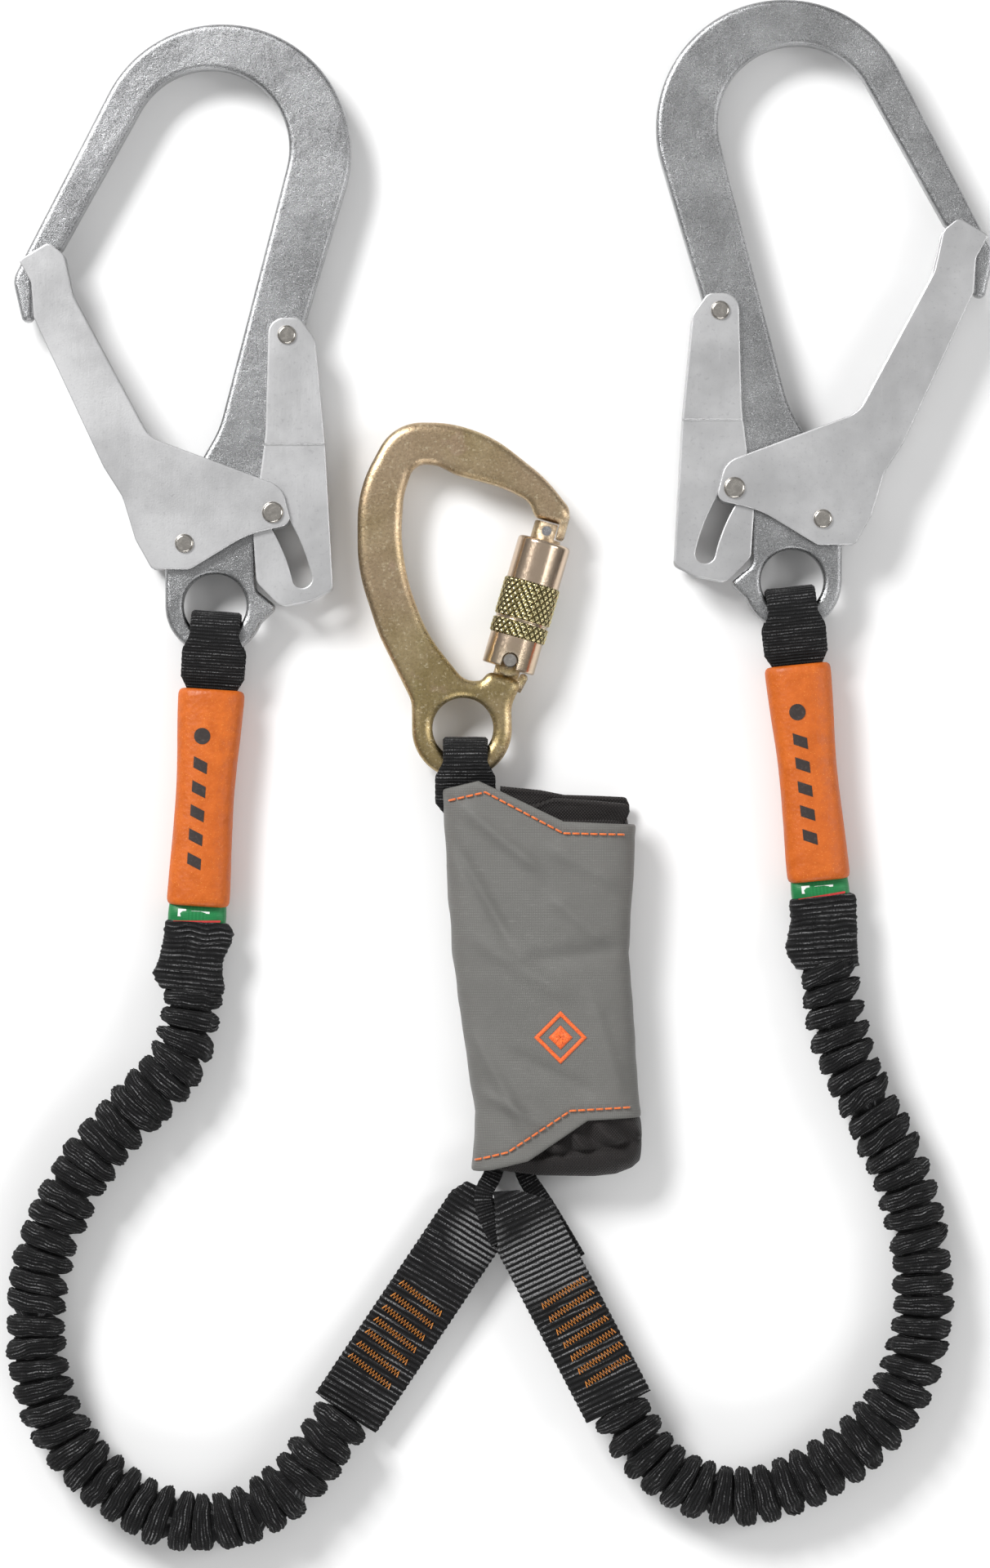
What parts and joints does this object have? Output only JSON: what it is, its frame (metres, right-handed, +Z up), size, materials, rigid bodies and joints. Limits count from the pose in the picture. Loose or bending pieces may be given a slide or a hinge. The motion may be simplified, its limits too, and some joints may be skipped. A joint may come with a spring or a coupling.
{
  "type": "shock absorbing lanyard",
  "caption": "Twin-leg elastic fall-arrest lanyard laid flat: tear-webbing absorber pack, locking carabiner and steel scaffold hooks with grips.",
  "frame": {"origin": "on the floor it lies on, below the centre of the box round everything but the two elastic legs", "axes": "+Z up from the floor, +Y from the absorber pack towards the hooks' tops, +X towards the right hook"},
  "size_m": [0.3878, 0.6092, 0.0286],
  "materials": {
    "hook_steel": "zinc-plated forging, grainy",
    "gate_sheet": "zinc-plated folded sheet",
    "rivet_nickel": "polished nickel plate",
    "spring_steel": "spring wire",
    "yellow_zinc": "yellow zinc plate, cast grain",
    "yellow_zinc_gloss": "yellow zinc plate, smooth",
    "washer_plastic": "smooth",
    "black_webbing": "ribbed polyester webbing",
    "leg_webbing": "gathered tubular webbing",
    "elastic_core": "matte",
    "orange_grip": "moulded, matte",
    "label_green": "printed band",
    "tack_thread": "zig-zag stitching",
    "cover_grey": "coated woven cloth",
    "pouch_dark": "twill",
    "tear_ply": "woven tear webbing",
    "emblem_dark": "embroidered patch"
  },
  "bodies": {
    "webbing_and_pack": {"left_hook_loop": "black_webbing", "left_grip": "orange_grip", "left_fall_label": "label_green", "left_cuff": "leg_webbing", "left_leg_sleeve": "leg_webbing", "left_leg_core": "elastic_core", "left_sewn_end": "black_webbing", "left_bar_tacks": "tack_thread", "left_pack_strap": "black_webbing", "right_hook_loop": "black_webbing", "right_grip": "orange_grip", "right_fall_label": "label_green", "right_cuff": "leg_webbing", "right_leg_sleeve": "leg_webbing", "right_leg_core": "elastic_core", "right_sewn_end": "black_webbing", "right_bar_tacks": "tack_thread", "right_pack_strap": "black_webbing", "pack_top_loop": "black_webbing", "pack_cover": "cover_grey", "pack_pouch": "pouch_dark", "tear_webbing": "tear_ply", "pack_emblem": "emblem_dark"},
    "left_hook": {"left_hook_frame": "hook_steel", "left_gate_rivet": "rivet_nickel", "left_lever_rivet": "rivet_nickel", "left_gate_spacers": "washer_plastic", "left_gate_spring": "spring_steel", "left_lever_spring": "spring_steel"},
    "left_hook_gate": {"left_gate": "gate_sheet", "left_lock_pin": "rivet_nickel"},
    "left_hook_lever": {"left_lock_lever": "gate_sheet"},
    "right_hook": {"right_hook_frame": "hook_steel", "right_gate_rivet": "rivet_nickel", "right_lever_rivet": "rivet_nickel", "right_gate_spacers": "washer_plastic", "right_gate_spring": "spring_steel", "right_lever_spring": "spring_steel"},
    "right_hook_gate": {"right_gate": "gate_sheet", "right_lock_pin": "rivet_nickel"},
    "right_hook_lever": {"right_lock_lever": "gate_sheet"},
    "carabiner": {"carabiner_frame": "yellow_zinc", "carabiner_hinge_rivet": "rivet_nickel"},
    "carabiner_gate_arm": {"carabiner_gate": "yellow_zinc", "carabiner_nose_pin": "spring_steel", "carabiner_gate_plunger": "spring_steel", "carabiner_gate_spring": "spring_steel", "carabiner_sleeve_spring": "spring_steel"},
    "lock_collar": {"carabiner_lock_collar": "yellow_zinc_gloss"},
    "lock_sleeve": {"carabiner_lock_sleeve": "yellow_zinc_gloss"}
  },
  "joints": [
    {"name": "left_hook_swing", "type": "hinge", "parent": "webbing_and_pack", "child": "left_hook", "pos_m": [-0.11295, 0.03111, 0.0128], "axis": [1, 0, 0], "range_deg": [-60, 60]},
    {"name": "right_hook_swing", "type": "hinge", "parent": "webbing_and_pack", "child": "right_hook", "pos_m": [0.11295, 0.04071, 0.0128], "axis": [1, 0, 0], "range_deg": [-60, 60]},
    {"name": "carabiner_swing", "type": "hinge", "parent": "webbing_and_pack", "child": "carabiner", "pos_m": [-0.01495, -0.01789, 0.0128], "axis": [1, 0, 0], "range_deg": [-60, 60]},
    {"name": "left_gate_hinge", "type": "hinge", "parent": "left_hook", "child": "left_hook_gate", "pos_m": [-0.12465, 0.06761, 0.0128], "axis": [0, 0, 1], "range_deg": [-40, 0], "stiffness_Nm_per_rad": 0.25, "springref_deg": 34.38, "deforming": ["left_gate_spring"]},
    {"name": "left_lever_hinge", "type": "hinge", "parent": "left_hook", "child": "left_hook_lever", "pos_m": [-0.08465, 0.14911, 0.0128], "axis": [0, 0, 1], "range_deg": [-7.01, 0], "deforming": ["left_lever_spring"]},
    {"name": "right_gate_hinge", "type": "hinge", "parent": "right_hook", "child": "right_hook_gate", "pos_m": [0.12465, 0.07721, 0.0128], "axis": [0, 0, 1], "range_deg": [0, 40], "stiffness_Nm_per_rad": 0.25, "springref_deg": -34.38, "deforming": ["right_gate_spring"]},
    {"name": "right_lever_hinge", "type": "hinge", "parent": "right_hook", "child": "right_hook_lever", "pos_m": [0.08465, 0.15871, 0.0128], "axis": [0, 0, 1], "range_deg": [0, 7.01], "deforming": ["right_lever_spring"]},
    {"name": "carabiner_gate_hinge", "type": "hinge", "parent": "carabiner", "child": "carabiner_gate_arm", "pos_m": [0.00255, 0.02191, 0.0128], "axis": [0, 0, 1], "range_deg": [0, 40], "stiffness_Nm_per_rad": 0.08, "springref_deg": -28.65},
    {"name": "collar_slide", "type": "slide", "parent": "carabiner_gate_arm", "child": "lock_collar", "axis": [0.28, 0.96, 0], "range_m": [0, 0.0046], "deforming": ["carabiner_sleeve_spring"]},
    {"name": "sleeve_twist", "type": "hinge", "parent": "lock_collar", "child": "lock_sleeve", "pos_m": [0.00255, 0.02191, 0.0128], "axis": [0.28, 0.96, 0], "range_deg": [0, 90], "stiffness_Nm_per_rad": 0.01, "springref_deg": -17.19}
  ],
  "couplings": [
    {"joint": "left_lever_hinge", "follows": "left_gate_hinge", "ratio": 0.175},
    {"joint": "right_lever_hinge", "follows": "right_gate_hinge", "ratio": 0.175},
    {"joint": "collar_slide", "follows": "carabiner_gate_hinge", "m_per_rad": 0.0064458}
  ]
}
